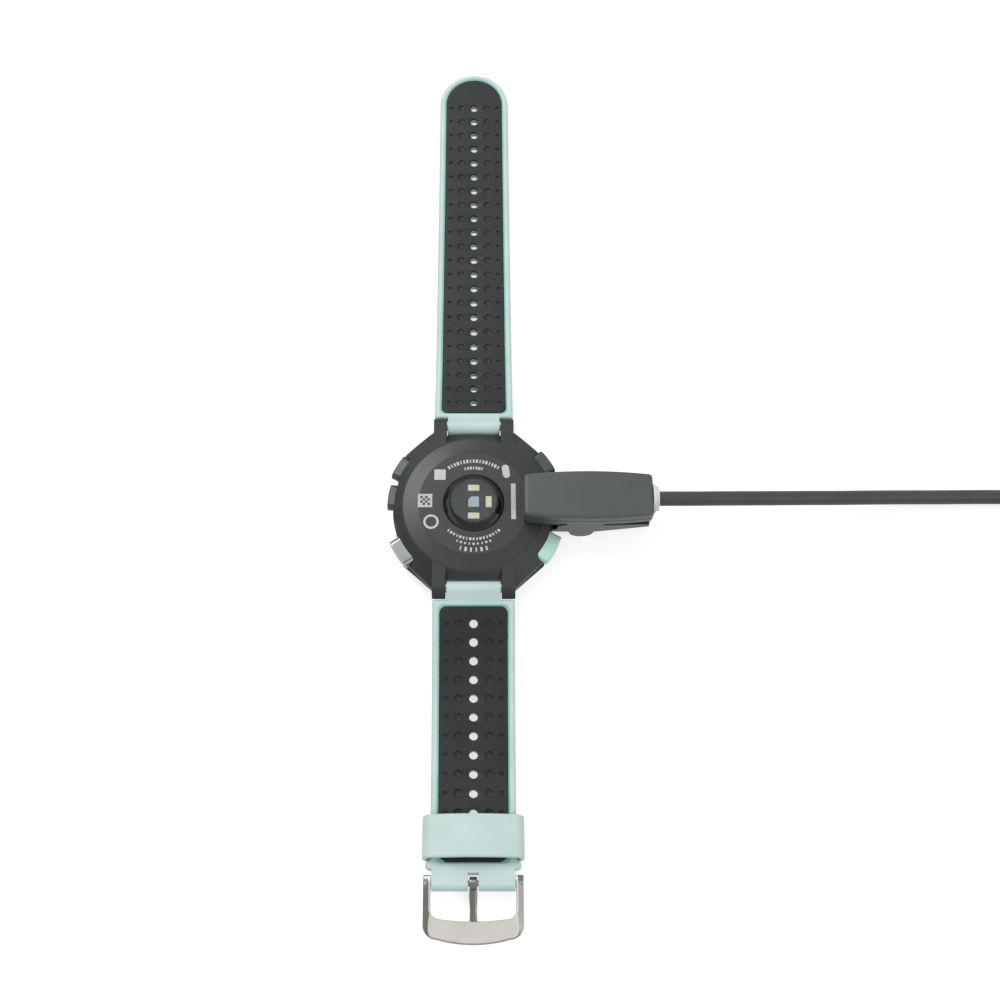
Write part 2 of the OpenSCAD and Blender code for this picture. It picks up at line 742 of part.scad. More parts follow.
module clip_upper_jaw() {
    ear = 1.4;
    nose_z = case_h + 0.3;
    edge = 1.1;
    color([0.32, 0.35, 0.34]) difference() {
        union() {
            intersection() {
                translate([0, 0, nose_z]) linear_extrude(height = clip_top - nose_z)
                    clip_plan(clip_w / 2, clip_x, clip_end);
                across_y(clip_w + 2) polygon([[clip_x, nose_z], [mouth_x, nose_z],
                    [mouth_x + 1, skirt_z], [clip_end, skirt_z], [clip_end, clip_top - 0.6],
                    [clip_end - 0.6, clip_top], [clip_x + edge, clip_top], [clip_x, clip_top - edge]]);
            }
            for (s = [-1, 1]) translate([0, s * (jaw_half + 0.2 + ear / 2), 0]) across_y(ear) {
                translate(pivot) circle(r = 3.4);
                polygon([[pivot[0] - 4.4, skirt_z + 1], [pivot[0] - 3.2, pivot[1]],
                         [pivot[0] + 3.2, pivot[1]], [pivot[0] + 6, skirt_z + 1]]);
            }
        }
        // hollow for the contact block, the spring and the cable
        translate([clip_x + 1.6, -jaw_half - 0.2, nose_z - 1])
            cube([clip_l - 3.2, 2 * jaw_half + 0.4, clip_top - nose_z - 0.6]);
        y_rod(hinge_r + run, -20, 20, pivot[0], pivot[1]);
        x_rod(cord_r + fit, clip_end - 3, clip_end + 1, 0, lead_route[0][2]);
    }
}

module clip_lower_jaw() {
    bite = bezel_r - 2.8;
    color([0.16, 0.17, 0.18]) difference() {
        across_y(2 * jaw_half) {
            polygon([[bite, 0.1], [clip_end - 15, 0.1], [clip_end, 4.3], [clip_end - 0.2, 6.3],
                     [pivot[0] + 6, 5.4], [pivot[0] + 2, 6.4], [pivot[0] - 3, 6.2],
                     [mouth_x + 0.5, 4.8], [mouth_x, 2.35], [bite, 0.55]]);
            translate(pivot) circle(r = 2.6);
        }
        y_rod(hinge_r + run, -20, 20, pivot[0], pivot[1]);
        // room for the spring's coil and its upper leg
        translate([pivot[0] - 3, -2.9, 1.4]) cube([6, 5.8, 20]);
    }
}

module clip_hinge_pin() {
    color([0.85, 0.85, 0.85]) y_rod(hinge_r, -jaw_half - 1.5, jaw_half + 1.5, pivot[0], pivot[1]);
}

module clip_spring() {
    leg_r = 0.35;
    coil_r = hinge_r + 1.0;
    color([0.6, 0.6, 0.62]) difference() {
        union() {
            y_rod(coil_r, -2.6, 2.6, pivot[0], pivot[1]);
            translate([pivot[0] + coil_r - leg_r, 1.8, pivot[1]])
                cylinder(r = leg_r, h = clip_top - 1.8 - pivot[1]);
        }
        y_rod(hinge_r + run, -20, 20, pivot[0], pivot[1]);
    }
}

module clip_contact_block() {
    color([0.1, 0.1, 0.11]) difference() {
        translate([clip_x + 1.7, -jaw_half + 0.1, case_h + 0.5])
            cube([4, 2 * jaw_half - 0.2, clip_top - case_h - 2.2]);
        for (p = contact_places) translate([p[0], p[1], 0]) cylinder(r = 0.5, h = case_h + 1.6);
    }
}

module pogo_pins() {
    color([0.85, 0.7, 0.35]) for (p = contact_places) translate([p[0], p[1], contact_z + fit])
        cylinder(r = 0.45, h = 1.6 + case_h - contact_z - fit);
}

module cable_collar() {
    color([0.84, 0.88, 0.87]) difference() {
        x_rod(collar_r, clip_end + 0.1, clip_end + collar_t, 0, lead_route[0][2]);
        x_rod(cord_r - 0.2, clip_end - 1, clip_end + 3, 0, lead_route[0][2]);
    }
}

// ---- charging lead ----

sides = 10;

function unit(v) = v / norm(v);
// One ring of a tube: points round p, square to the way t that the route runs there.
function loop_at(p, t, r) =
    let (a = unit(cross([0, 0, 1], t)), b = unit(cross(t, a)))
    [for (k = [0 : sides - 1]) p + r * (cos(360 * k / sides) * a + sin(360 * k / sides) * b)];
function way(path, i) =
    unit(path[min(i + 1, len(path) - 1)] - path[max(i - 1, 0)]);

module tube(path, r) {
    n = len(path);
    points = [for (i = [0 : n - 1]) each loop_at(path[i], way(path, i), r)];
    walls = [for (i = [0 : n - 2], k = [0 : sides - 1])
        let (a = i * sides + k, b = i * sides + (k + 1) % sides)
        each [[a, b, b + sides], [a, b + sides, a + sides]]];
    ends = [[for (k = [sides - 1 : -1 : 0]) k], [for (k = [0 : sides - 1]) (n - 1) * sides + k]];
    polyhedron(points = points, faces = concat(walls, ends), convexity = 6);
}

module cord_lead() { color([0.29, 0.3, 0.33]) tube(lead_route, cord_r); }
module cord_tail() { color([0.29, 0.3, 0.33]) tube(tail_route, cord_r); }

module cord_coil() {
    half = turn_columns * cord_d / 2;
    color([0.29, 0.3, 0.33]) translate([coil_centre[0], coil_centre[1], 0.1]) rotate_extrude()
        translate([coil_mean - half, 0]) square([2 * half, turn_layers * cord_d]);
}

module plug_strain_relief() {
    color([0.12, 0.12, 0.13]) translate([coil_centre[0] + coil_mean + cord_d, plug_y, plug_z])
        rotate([90, 0, 0]) cylinder(r1 = cord_r + 0.5, r2 = 3.2, h = relief_l);
}

module plug_body() {
    color([0.12, 0.12, 0.13]) translate([coil_centre[0] + coil_mean + cord_d,
        plug_y - relief_l - plug_body_l / 2, plug_z]) cube([15.6, plug_body_l, 7.8], center = true);
}

module plug_shell() {
    wall = 0.5;
    color([0.8, 0.8, 0.8]) translate([coil_centre[0] + coil_mean + cord_d,
        plug_y - relief_l - plug_body_l - plug_shell_l / 2, plug_z]) difference() {
        cube([12, plug_shell_l, 4.5], center = true);
        translate([0, -1, 0.9]) cube([12 - 2 * wall, plug_shell_l, 4.5 - 2 * wall - 1.8], center = true);
    }
}

front_bezel();
lens_glass();
lens_gasket();
display_module();
mid_case();
main_board();
board_screws();
battery();
gps_antenna();
vibration_motor();
dome_switches();
button_seals();
button_upper_left();
button_middle_left();
button_lower_left();
button_upper_right();
button_lower_right();
back_cover();
back_gasket();
charge_contacts();
piezo_buzzer();
sensor_ring();
sensor_board();
sensor_leds();
photodiode();
sensor_window();
long_spring_bar();
short_spring_bar();
long_strap_1();
long_strap_2();
long_strap_3();
long_strap_4();
long_liner_1();
long_liner_2();
long_liner_3();
long_liner_4();
short_strap_1();
short_strap_2();
short_strap_3();
short_liner_1();
short_liner_2();
short_liner_3();
keeper_loop();
buckle_bar();
buckle_frame();
buckle_prong();
clip_upper_jaw();
clip_lower_jaw();
clip_hinge_pin();
clip_spring();
clip_contact_block();
pogo_pins();
cable_collar();
cord_lead();
cord_coil();
cord_tail();
plug_strain_relief();
plug_body();
plug_shell();
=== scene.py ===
"""A GPS running watch lying on its lens, straps laid out, with its charging clip and lead."""

import json
import math

import bmesh
import bpy
from mathutils import Matrix, Vector
from mathutils.geometry import delaunay_2d_cdt


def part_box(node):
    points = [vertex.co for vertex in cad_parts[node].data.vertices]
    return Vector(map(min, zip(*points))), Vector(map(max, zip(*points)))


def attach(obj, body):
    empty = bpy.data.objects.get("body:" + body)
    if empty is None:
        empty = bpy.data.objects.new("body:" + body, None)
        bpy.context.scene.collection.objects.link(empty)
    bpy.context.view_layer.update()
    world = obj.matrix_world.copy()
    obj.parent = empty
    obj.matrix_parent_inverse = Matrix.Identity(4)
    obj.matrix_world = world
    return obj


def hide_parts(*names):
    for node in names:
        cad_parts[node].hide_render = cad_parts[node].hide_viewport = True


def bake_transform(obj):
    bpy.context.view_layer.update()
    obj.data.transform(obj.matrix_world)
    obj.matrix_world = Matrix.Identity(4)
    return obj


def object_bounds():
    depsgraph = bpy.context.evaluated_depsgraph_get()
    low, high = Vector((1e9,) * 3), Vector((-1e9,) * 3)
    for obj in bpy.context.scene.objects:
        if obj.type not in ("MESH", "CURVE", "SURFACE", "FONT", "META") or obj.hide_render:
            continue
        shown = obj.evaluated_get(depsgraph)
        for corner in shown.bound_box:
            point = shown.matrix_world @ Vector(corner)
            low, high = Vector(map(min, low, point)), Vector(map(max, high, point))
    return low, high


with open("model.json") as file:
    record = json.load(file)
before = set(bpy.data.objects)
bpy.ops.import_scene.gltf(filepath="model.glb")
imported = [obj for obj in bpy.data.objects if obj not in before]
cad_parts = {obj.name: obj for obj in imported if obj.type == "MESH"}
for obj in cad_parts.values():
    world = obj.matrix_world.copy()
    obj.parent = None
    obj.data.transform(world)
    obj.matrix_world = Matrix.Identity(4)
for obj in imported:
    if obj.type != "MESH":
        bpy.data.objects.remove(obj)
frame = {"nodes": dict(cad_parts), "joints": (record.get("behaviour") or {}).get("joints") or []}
cad_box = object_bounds()

# ---- camera ----
# A still-life camera high over the short strap, looking down on the case back.

MM = 0.001


def mm(*values):
    """Millimetres to metres, as one number or a vector."""
    return values[0] * MM if len(values) == 1 else Vector(values) * MM


camera = bpy.data.objects.new("camera", bpy.data.cameras.new("camera"))
bpy.context.scene.collection.objects.link(camera)
bpy.context.scene.camera = camera
look_at = mm(1, 0.75, 9.4)
distance = mm(350)
elevation = math.radians(68)
to_camera = Vector((0, -math.cos(elevation), math.sin(elevation)))
camera.location = look_at + to_camera * distance
camera.data.shift_x = 0.0227
camera.rotation_euler = (-to_camera).to_track_quat("-Z", "Y").to_euler()
camera.data.sensor_width = 36
camera.data.lens = 46
camera.data.clip_start = 0.01
camera.data.clip_end = 10

# ---- lead ----
# The charging lead, a four-core cable in an extruded soft PVC jacket, about a metre long. It leaves the
# clip level, comes down to the table, and its spare length is wound in a coil of two layers of three turns.

CORD_R = mm(2)
COIL_CENTRE = (178, -21.4)
COIL_RADII = (26, 22, 18, 18, 22, 26)
COIL_LEVELS = (2.1, 2.1, 2.1, 6.1, 6.1, 6.1)
LEAD_ROUTE = [
    (50, 0, 12.2), (60, 0.1, 12), (70, 0.5, 11.2), (80, 1.1, 9.8), (90, 1.9, 8), (100, 2.7, 6.1),
    (110, 3.5, 4.4), (120, 4.1, 3.1), (130, 4.4, 2.4), (140, 4.6, 2.1), (150, 4.6, 2.1), (160, 4.6, 2.1),
    (170, 4.6, 2.1),
]
TAIL_ROUTE = [(204, -30, 5.6), (204, -35, 4.9), (204, -41, 4.2), (204, -47, 4), (204, -52, 4)]


def ease(t):
    """Smooth step from 0 to 1."""
    t = min(max(t, 0.0), 1.0)
    return t * t * (3 - 2 * t)


def coil_points(steps=40, change=0.3):
    """The turns of the coil, clockwise from its far side, each sliding to the next over its last part."""
    points = []
    turns = len(COIL_RADII)
    for i in range(1, turns * steps + steps // 4 + 1):
        turn, part = divmod(i, steps)
        here = min(turn, turns - 1)
        after = min(turn + 1, turns - 1)
        blend = ease((part / steps - (1 - change)) / change)
        radius = COIL_RADII[here] + (COIL_RADII[after] - COIL_RADII[here]) * blend
        level = COIL_LEVELS[here] + (COIL_LEVELS[after] - COIL_LEVELS[here]) * blend
        angle = math.pi / 2 - 2 * math.pi * i / steps
        points.append((COIL_CENTRE[0] + radius * math.cos(angle),
                       COIL_CENTRE[1] + radius * math.sin(angle), level))
    return points


def catmull(points, per=6):
    """A smooth line through points, with per steps between each two."""
    line = []
    for i in range(len(points) - 1):
        p = [Vector(points[min(max(i + k, 0), len(points) - 1)]) for k in (-1, 0, 1, 2)]
        for s in range(per):
            t = s / per
            line.append(0.5 * (2 * p[1] + (p[2] - p[0]) * t + (2 * p[0] - 5 * p[1] + 4 * p[2] - p[3]) * t ** 2
                               + (3 * p[1] - p[0] - 3 * p[2] + p[3]) * t ** 3))
    return line + [Vector(points[-1])]


def curve_tube(name, points, radius, sides=8):
    """A round tube's mesh along a line of points in metres."""
    data = bpy.data.curves.new(name, "CURVE")
    data.dimensions = "3D"
    data.bevel_depth = radius
    data.bevel_resolution = sides
    data.use_fill_caps = True
    spline = data.splines.new("POLY")
    spline.points.add(len(points) - 1)
    for place, p in zip(spline.points, points):
        place.co = (*p, 1)
    line = bpy.data.objects.new(name + "_line", data)
    mesh = bpy.data.meshes.new_from_object(line)
    bpy.data.objects.remove(line)
    mesh.shade_smooth()
    tube = bpy.data.objects.new(name, mesh)
    bpy.context.scene.collection.objects.link(tube)
    return tube


lead_line = [p * MM for p in catmull(LEAD_ROUTE + [(174, 4.6, 2.1)] + coil_points() + TAIL_ROUTE)]
lead = curve_tube("charging_lead", lead_line, CORD_R)
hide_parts("cord_lead", "cord_coil", "cord_tail")
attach(lead, "clip")



def colour(code):
    """An sRGB hex colour as linear RGBA."""
    parts = [int(code[i:i + 2], 16) / 255 for i in (0, 2, 4)]
    return (*[c / 12.92 if c <= 0.04045 else ((c + 0.055) / 1.055) ** 2.4 for c in parts], 1)


def add(tree, kind, settings=None, inputs=None):
    """Adds a node with its settings; an input takes a value or another node's output."""
    node = tree.nodes.new(kind)
    for name, value in (settings or {}).items():
        setattr(node, name, value)
    for name, value in (inputs or {}).items():
        if isinstance(value, bpy.types.NodeSocket):
            tree.links.new(value, node.inputs[name])
        else:
            node.inputs[name].default_value = value
    return node


def finish(name, base, tint, roughness, drift=9, grain=0.3, depth=0.012, spread=0.08, **sockets):
    """A surface that drifts from base to tint over so many mm, with a grain of that size and depth in mm."""
    material = bpy.data.materials.new(name)
    material.use_nodes = True
    tree = material.node_tree
    shader = tree.nodes["Principled BSDF"]
    place = add(tree, "ShaderNodeTexCoord").outputs["Object"]
    clouds = add(tree, "ShaderNodeTexNoise", {}, {"Vector": place, "Scale": 1 / mm(drift), "Detail": 4})
    tone = add(tree, "ShaderNodeMapRange", {}, {0: clouds.outputs["Fac"], 1: 0.35, 2: 0.65})
    mixed = add(tree, "ShaderNodeMix", {"data_type": "RGBA"},
                {0: tone.outputs[0], 6: colour(base), 7: colour(tint)})
    tree.links.new(mixed.outputs[2], shader.inputs["Base Color"])
    fine = add(tree, "ShaderNodeTexNoise", {}, {"Vector": place, "Scale": 1 / mm(grain), "Detail": 2})
    gloss = add(tree, "ShaderNodeMapRange", {},
                {0: fine.outputs["Fac"], 1: 0.3, 2: 0.7, 3: roughness - spread / 2,
                 4: roughness + spread / 2})
    tree.links.new(gloss.outputs[0], shader.inputs["Roughness"])
    bump = add(tree, "ShaderNodeBump", {}, {"Height": fine.outputs["Fac"], "Distance": mm(depth)})
    tree.links.new(bump.outputs[0], shader.inputs["Normal"])
    for socket, value in sockets.items():
        shader.inputs[socket.replace("_", " ")].default_value = value
    return material


# Soft PVC: a dull dark jacket with the faint drag marks of its extrusion.
pvc_jacket = finish("soft_pvc_extruded", "3C3F42", "37393D", 0.55, grain=0.5)
lead.data.materials.append(pvc_jacket)


def dress(node, material, edge=0.0, turn=35):
    """Gives a CAD node its material and, where edge is over 0, worn edges of that radius in mm."""
    part = frame["nodes"][node]
    part.data.materials.clear()
    part.data.materials.append(material)
    weld = part.modifiers.new("weld", "WELD")
    weld.merge_threshold = mm(0.002)
    if edge:
        bevel = part.modifiers.new("edge", "BEVEL")
        bevel.width = mm(edge)
        bevel.segments = 3
        bevel.angle_limit = math.radians(turn)
        bevel.use_clamp_overlap = True
    even = part.modifiers.new("even", "WEIGHTED_NORMAL")
    even.keep_sharp = True
    return part


# ---- display and lens ----
# A chemically strengthened glass lens, bonded over a reflective display in its steel frame.

def clear(name, tint, roughness, solid):
    """A clear polished material; solid is the share of light that it doesn't let through."""
    material = finish(name, tint, tint, roughness, spread=0.01, depth=0.0004)
    shader = material.node_tree.nodes["Principled BSDF"]
    shader.inputs["Transmission Weight"].default_value = 1 - solid
    shader.inputs["IOR"].default_value = 1.5
    return material


dress("lens_glass", clear("strengthened_glass_polished", "B9C2C2", 0.04, 0.15), 0.2)
dress("display_module", finish("reflective_display_laminated", "2B322F", "303834", 0.25, grain=0.13,
                               depth=0.002))
nitrile = finish("nitrile_rubber_moulded", "16181A", "1B1D1F", 0.6)
dress("lens_gasket", nitrile)

# ---- case ----
# Bezel, mid case and back cover are moulded in glass-filled polyamide with a fine spark-eroded texture,
# which leaves them a dull, slightly green grey. Three screws hold the board to the mid case's shelf.

polyamide = finish("glass_filled_polyamide_moulded", "2B2E2F", "272A2B", 0.46, grain=0.35, depth=0.02,
                   spread=0.12, Specular_IOR_Level=0.4)
cover_plastic = finish("glass_filled_polyamide_fine", "303233", "2C2E2F", 0.38, grain=0.25, depth=0.01)
dress("front_bezel", polyamide, 0.18)
dress("mid_case", polyamide, 0.14)
dress("back_cover", cover_plastic, 0.1)
dress("back_gasket", nitrile)
dress("button_seals", nitrile)


def metal(name, base, tint, roughness, grain=0.4, depth=0.004, **sockets):
    return finish(name, base, tint, roughness, drift=5, grain=grain, depth=depth, Metallic=1.0, **sockets)


steel = metal("stainless_steel_turned", "B4B3AF", "A9A8A4", 0.28)
gold = metal("gold_flash_plated", "D9B35B", "CDA650", 0.22)
board_lacquer = finish("solder_mask_printed", "14402B", "1B4C34", 0.35, drift=1.5, grain=0.6, depth=0.03)
dress("main_board", board_lacquer)
dress("board_screws", steel, 0.1)
dress("battery", metal("aluminium_laminate_pressed", "BFC2C6", "B2B5B9", 0.35, grain=1.2, depth=0.05), 0.4)
dress("gps_antenna", finish("antenna_ceramic_fired", "D3C7A6", "C8BB98", 0.6, grain=0.2))
dress("vibration_motor", steel, 0.2)
dress("dome_switches", metal("spring_steel_stamped", "B9B4A4", "ACA797", 0.3))
dress("piezo_buzzer", metal("brass_rolled", "C9A85E", "BD9C54", 0.3))
dress("charge_contacts", gold, 0.05)

# ---- marks on the back ----
# Pad-printed pale grey marks: rows of plain bars, a plain tile, a checker tile, a ring and two plates.

ink = finish("pad_ink_printed", "C4C7C4", "B7BAB7", 0.6, drift=1, grain=0.2, depth=0.01)
cover_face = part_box("back_cover")[1].z / MM


def make(name, bm, material, body=None, stands_for=(), smooth=40, more=()):
    """Turns a mesh in mm into a piece that rides on a body and stands for CAD nodes."""
    bmesh.ops.recalc_face_normals(bm, faces=bm.faces)
    data = bpy.data.meshes.new(name)
    bm.to_mesh(data)
    bm.free()
    data.transform(Matrix.Scale(MM, 4))
    data.shade_smooth()
    data.set_sharp_from_angle(angle=math.radians(smooth))
    for finish_here in (material, *more):
        data.materials.append(finish_here)
    part = bpy.data.objects.new(name, data)
    bpy.context.scene.collection.objects.link(part)
    part.modifiers.new("normals", "WEIGHTED_NORMAL").keep_sharp = True
    if stands_for:
        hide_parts(*stands_for)
    if body:
        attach(part, body)
    return part


def skin(bm, rings, closed=False, caps=True, index=0):
    """Joins rings of as many points each into a wall; the end rings are capped, or joined if it is closed."""
    loops = [[bm.verts.new(p) for p in ring] for ring in rings]
    pairs = list(zip(loops, loops[1:])) + ([(loops[-1], loops[0])] if closed else [])
    for a, b in pairs:
        for i in range(len(a)):
            j = (i + 1) % len(a)
            bm.faces.new((a[i], a[j], b[j], b[i])).material_index = index
    if caps and not closed:
        bm.faces.new(loops[0])
        bm.faces.new(loops[-1])
    return loops


def arc(cx, cy, r, a0, a1, n):
    """n + 1 points along an arc, in degrees."""
    turns = [math.radians(a0 + (a1 - a0) * k / n) for k in range(n + 1)]
    return [(cx + r * math.cos(t), cy + r * math.sin(t)) for t in turns]


INK_T = 0.02


def plate(bm, outline, cx=0.0, cy=0.0, turn=0.0):
    """A printed shape of this outline, centred and turned on the back cover."""
    c, s = math.cos(turn), math.sin(turn)
    flat = [(cx + x * c - y * s, cy + x * s + y * c) for x, y in outline]
    skin(bm, [[(x, y, z) for x, y in flat] for z in (cover_face - 0.01, cover_face + INK_T)])


def block(w, h):
    return [(-w / 2, -h / 2), (w / 2, -h / 2), (w / 2, h / 2), (-w / 2, h / 2)]


def bar_row(bm, r, middle, sweep, count, height):
    """Plain bars of three widths along an arc of the cover, in degrees."""
    for k in range(count):
        turn = math.radians(middle + sweep * (k / (count - 1) - 0.5))
        plate(bm, block((0.34, 0.62, 0.48)[k % 3], height), r * math.cos(turn), r * math.sin(turn),
              turn - math.pi / 2)


bm = bmesh.new()
bar_row(bm, 12.4, 90, 66, 17, 1.0)
bar_row(bm, 10.3, 90, 26, 7, 0.85)
bar_row(bm, 10.6, 270, 80, 17, 0.75)
bar_row(bm, 12.0, 270, 44, 9, 0.6)
bar_row(bm, 13.7, 270, 30, 6, 1.2)
plate(bm, block(3.1, 3.1), -9.3, 8.3)
for x, y in [(x, y) for x in range(6) for y in range(6) if x % 2 == y % 2 or x in (0, 5) or y in (0, 5)]:
    plate(bm, block(0.62, 0.62), -13.3 + (x - 2.5) * 0.66, 0.6 + (y - 2.5) * 0.66)
ring_out, ring_in = (arc(-11.6, -5.6, r, 0, 360, 32)[:-1] for r in (2.1, 1.5))
skin(bm, [[(x, y, z) for x, y in line] for line, z in
          ((ring_out, cover_face - 0.01), (ring_out, cover_face + INK_T), (ring_in, cover_face + INK_T),
           (ring_in, cover_face - 0.01))], closed=True)
lozenge = arc(0, 1.0, 1.0, 0, 180, 8) + arc(0, -1.0, 1.0, 180, 360, 8)
plate(bm, lozenge, 8.9, 9.3, math.radians(8))
plate(bm, block(1.3, 10.5), 10.9, 0.4)
make("back_marks", bm, ink, "case")

# ---- heart rate sensor ----
# A gloss black ring stands through the cover. Under its smoked window three green lights lie round a diode.

dress("sensor_ring", finish("polycarbonate_gloss_black", "0B0C0D", "101112", 0.1, grain=0.5, depth=0.001,
                            spread=0.03), 0.1)
dress("sensor_window", clear("polycarbonate_polished_smoke", "DDE2E2", 0.03, 0.02), 0.1)
dress("sensor_board", finish("black_foam_cut", "26282A", "2E3032", 0.8, grain=0.2, depth=0.05))
# The lights get a faint emission: painted glow standing in for the light they catch under the window.
dress("sensor_leds", finish("phosphor_gel_cast_painted_glow", "EFEBCB", "E6E2BE", 0.4, drift=1,
                            Emission_Color=colour("F2EECD"), Emission_Strength=0.42), 0.08)
# The diode's emission is painted glow as well.
dress("photodiode", finish("silicon_diode_sawn_painted_glow", "AEBBC8", "A2AFBD", 0.3, drift=1,
                           Emission_Color=colour("B2C0CC"), Emission_Strength=0.5), 0.06)

# ---- buttons ----
# Turned metal caps on stems: three bead-blasted grey, one bright, and the lower right one painted mint.

blasted = metal("aluminium_bead_blasted", "5A5D5E", "505354", 0.42, grain=0.3, depth=0.02)
bright_cap = metal("aluminium_satin_anodised", "929495", "868889", 0.34, grain=0.3, depth=0.01)
mint_lacquer = finish("lacquer_sprayed_mint", "B9DDD3", "AFD6CB", 0.35, grain=0.4, depth=0.004)
for node, cap in (("button_upper_left", blasted), ("button_middle_left", blasted),
                  ("button_lower_left", bright_cap), ("button_upper_right", blasted),
                  ("button_lower_right", mint_lacquer)):
    dress(node, cap, 0.5)
dress("long_spring_bar", steel)
dress("short_spring_bar", steel)

# ---- straps ----
# Two-shot silicone: a mint outer moulding, and a charcoal liner let into its wrist side. Every row has one
# hole through both and four blind dimples in the liner. The surface is satin from a fine blasted mould.

STRAP_T = 2.5
LIFT = 1.4            # the upper face above the spring bar
PITCH = 4.95
POCKET = 1.0
RIM = 2.0
HOLE_R = 1.15
START = 2.75          # the ends of the strap's shoulders, beside the ears
SOFT_BEND = 8.0       # half the length over which a bend is spread
CROSS = 1.65          # cross lines lie this far either side of a row of holes
CORNER_CLEAR = 4.2    # and at least this far from the end, clear of the corner by an ear
DIMPLE_X, DOT_X = 4.0, 7.25
DIMPLE = [(1.1, -0.1), (1.0, -0.2), (0.85, -0.42), (0.5, -0.5)]    # radius, height
DOT = [(0.62, -0.1), (0.55, -0.18), (0.5, -0.45)]
mint = finish("silicone_mint_satin", "C0D3D0", "B7CCC8", 0.5, grain=0.5, depth=0.012, Sheen_Weight=0.1)
# A deeper mint for the lip of the liner's pocket: painted shade for the groove round the liner.
mint_groove_shade = finish("silicone_mint_painted_groove_shade", "93CDBE", "86C4B4", 0.5, grain=0.5, depth=0.012)
charcoal = finish("silicone_charcoal_satin", "222528", "1D2023", 0.5, grain=0.5, depth=0.015, spread=0.12,
                  Specular_IOR_Level=0.35)
hinge_at = {j["name"]: Vector(j["pos_m"]) / MM for j in frame["joints"] if "pos_m" in j}


def half_width(s):
    return (22.2 - 0.9 / 115 * s) / 2


def strap_path(hinges, slopes, way):
    """Maps across, along and above a strap's face to a place; slopes are its links' in degrees."""
    runs = [Vector((0, math.cos(math.radians(a)), math.sin(math.radians(a)))) for a in slopes]
    corners = [Vector((0, abs(hinge_at[n].y), hinge_at[n].z)) for n in hinges]
    corners[0] += Vector((0, -runs[0].z, runs[0].y)) * LIFT
    reach = [0.0]
    for a, b in zip(corners, corners[1:]):
        reach.append(reach[-1] + (b - a).length)

    def place(x, s, h):
        i = max(k for k, r in enumerate(reach) if k == 0 or s >= r - SOFT_BEND)
        past = s - reach[i]
        if i and past < SOFT_BEND:
            rise, fall = (past + SOFT_BEND) ** 2, (SOFT_BEND - past) ** 2
            point = corners[i] + (runs[i] * rise - runs[i - 1] * fall) / (4 * SOFT_BEND)
            along = runs[i].lerp(runs[i - 1], (SOFT_BEND - past) / (2 * SOFT_BEND)).normalized()
        else:
            point = corners[i] + runs[i] * past
            along = runs[i]
        spot = point + Vector((0, -along.z, along.y)) * h
        return Vector((x, spot.y * way, spot.z))

    return place, reach


def near_corner(w):
    """The corner beside an ear, from the end's middle outwards, with each point's way inwards per mm."""
    outer = arc(w - 0.6, START + 0.6, 0.6, -90, 0, 6)
    inner = arc(w - RIM - 1.8, START + RIM - 0.15 + 1.8, 1.8, -90, 0, 6)
    return outer, inner


def strap_plan(rows, far_outer, far_inner):
    """Points round a strap's plan with each one's way inwards per mm, and the rows' cross lines."""
    outer, inner = near_corner(half_width(START))
    crossings = []
    for s in rows:
        for t in (s - CROSS, s + CROSS):
            if t < START + CORNER_CLEAR:
                continue
            crossings.append(len(outer))
            outer.append((half_width(t), t))
            inner.append((half_width(t) - RIM, t))
    outer += far_outer
    inner += far_inner
    right = [(Vector(o), (Vector(i) - Vector(o)) / RIM) for o, i in zip(outer, inner)]
    left = [(Vector((-p.x, p.y)), Vector((-v.x, v.y))) for p, v in reversed(right)]
    count = len(right) + len(left)
    return right + left, [(k, count - 1 - k) for k in crossings]


def plan_ring(plan, inset, h):
    return [(*(p + v * inset), h) for p, v in plan]


def between(sides):
    """The share of its radius that parts a many-sided hole's inner slivers from the faces round it."""
    turn = math.pi / sides
    return ((2 * math.cos(2 * turn) + 1) / 3 + math.cos(turn)) / 2


def lid(bm, loop, crossings, holes):
    """Fills a flat loop but for its holes, each a centre, a radius and a loop, split at the crossings."""
    verts = list(loop)
    edges = [(i, (i + 1) % len(loop)) for i in range(len(loop))] + list(crossings)
    for _, _, ring in holes:
        first = len(verts)
        verts += ring
        edges += [(first + i, first + (i + 1) % len(ring)) for i in range(len(ring))]
    found = delaunay_2d_cdt([v.co.xy for v in verts], edges, [list(range(len(loop)))], 1, 1e-5)
    origin = [ids[0] for ids in found[3]]
    for face in found[2]:
        middle = sum((Vector(found[0][i]) for i in face), Vector((0, 0))) / len(face)
        if all((middle - Vector(c)).length > r * between(len(ring)) for c, r, ring in holes):
            bm.faces.new([verts[origin[i]] for i in face])


def hole_wall(bm, x, s, steps, sides, closed=False):
    """Rings of a round hole from (radius, height) steps; returns its first and last loops."""
    rings = [[(*p, h) for p in arc(x, s, r, 0, 360, sides)[:-1]] for r, h in steps]
    loops = skin(bm, rings, caps=False)
    if closed:
        bm.faces.new(loops[-1])
    return loops[0], loops[-1]


